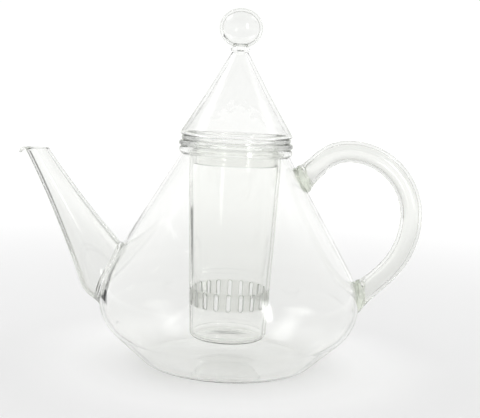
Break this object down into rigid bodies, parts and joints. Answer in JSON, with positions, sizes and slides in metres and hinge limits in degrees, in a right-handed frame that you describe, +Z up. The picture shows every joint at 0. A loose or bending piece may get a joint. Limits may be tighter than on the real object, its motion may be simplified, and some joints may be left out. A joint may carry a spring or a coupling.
{
  "type": "glass teapot",
  "caption": "Clear blown glass teapot with a cone shoulder, straight spout, looped tube handle, slotted lift-out infuser and a hollow cone lid with a ball knob.",
  "frame": {"origin": "on the pot's axis in the plane of its foot", "axes": "+Z up along the pot's axis, +X towards the handle, -X towards the spout"},
  "size_m": [0.2331, 0.15, 0.2036],
  "materials": {
    "clear_glass": "clear fire-polished borosilicate glass",
    "edge_glass": "thick clear glass, faintly green where it is deep"
  },
  "bodies": {
    "pot": {"pot_body": "clear_glass", "pot_rim": "edge_glass", "spout": "clear_glass", "spout_weld": "edge_glass", "handle": "clear_glass", "handle_upper_weld": "edge_glass", "handle_lower_weld": "edge_glass"},
    "infuser": {"infuser_flange": "edge_glass", "infuser_tube": "clear_glass", "infuser_base": "clear_glass"},
    "lid": {"lid_cone": "clear_glass", "lid_ring": "edge_glass", "lid_skirt": "clear_glass", "lid_neck": "edge_glass", "lid_knob": "clear_glass"}
  },
  "joints": [
    {"name": "infuser_lift", "type": "slide", "parent": "pot", "child": "infuser", "axis": [0, 0, 1], "range_m": [0, 0.125]},
    {"name": "lid_lift", "type": "slide", "parent": "infuser", "child": "lid", "axis": [0, 0, 1], "range_m": [0, 0.06]}
  ]
}
